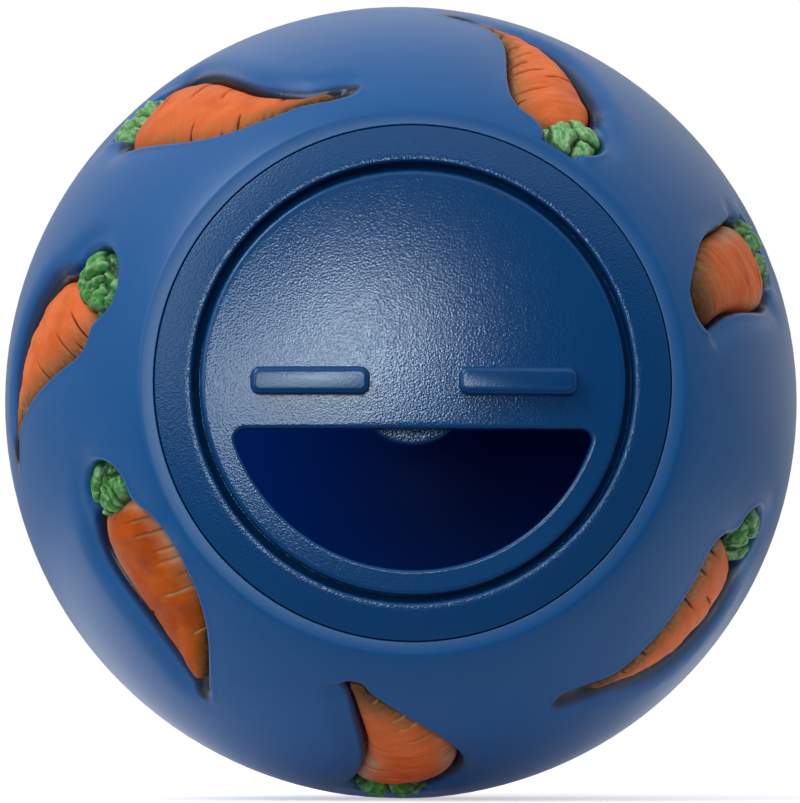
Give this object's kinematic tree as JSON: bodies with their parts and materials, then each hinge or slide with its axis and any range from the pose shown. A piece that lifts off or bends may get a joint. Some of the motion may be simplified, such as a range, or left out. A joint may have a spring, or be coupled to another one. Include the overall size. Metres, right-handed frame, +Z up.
{
  "type": "treat dispensing ball toy",
  "caption": "Hollow soft ball with sunken carrot reliefs and a round mouth insert whose turning shutter opens or closes a half-moon treat hole.",
  "frame": {"origin": "the ball's lowest point, where it touches the floor, straight below the ball's centre", "axes": "+Z up, -Y out of the mouth towards the viewer, +X to the viewer's right"},
  "size_m": [0.07, 0.0644, 0.07],
  "materials": {
    "blue_vinyl": "smooth satin soft vinyl",
    "blue_plastic": "fine moulded grain on hard plastic",
    "orange_paint": "sprayed orange paint with brown edges on vinyl",
    "green_paint": "sprayed green paint on vinyl"
  },
  "bodies": {
    "ball": {"ball_shell": "blue_vinyl", "mouth_insert": "blue_plastic", "carrot_root_01": "orange_paint", "carrot_root_02": "orange_paint", "carrot_root_03": "orange_paint", "carrot_root_04": "orange_paint", "carrot_root_05": "orange_paint", "carrot_root_06": "orange_paint", "carrot_root_07": "orange_paint", "carrot_root_08": "orange_paint", "carrot_root_09": "orange_paint", "carrot_root_10": "orange_paint", "carrot_root_11": "orange_paint", "carrot_root_12": "orange_paint", "carrot_root_13": "orange_paint", "carrot_root_14": "orange_paint", "carrot_leaves_01": "green_paint", "carrot_leaves_02": "green_paint", "carrot_leaves_03": "green_paint", "carrot_leaves_04": "green_paint", "carrot_leaves_05": "green_paint", "carrot_leaves_06": "green_paint", "carrot_leaves_07": "green_paint", "carrot_leaves_08": "green_paint", "carrot_leaves_09": "green_paint", "carrot_leaves_10": "green_paint", "carrot_leaves_11": "green_paint", "carrot_leaves_12": "green_paint", "carrot_leaves_13": "green_paint", "carrot_leaves_14": "green_paint"},
    "shutter": {"shutter_disc": "blue_plastic"}
  },
  "joints": [
    {"name": "shutter_turn", "type": "hinge", "parent": "ball", "child": "shutter", "pos_m": [0, -0.0265, 0.035], "axis": [0, -1, 0], "continuous": true}
  ]
}
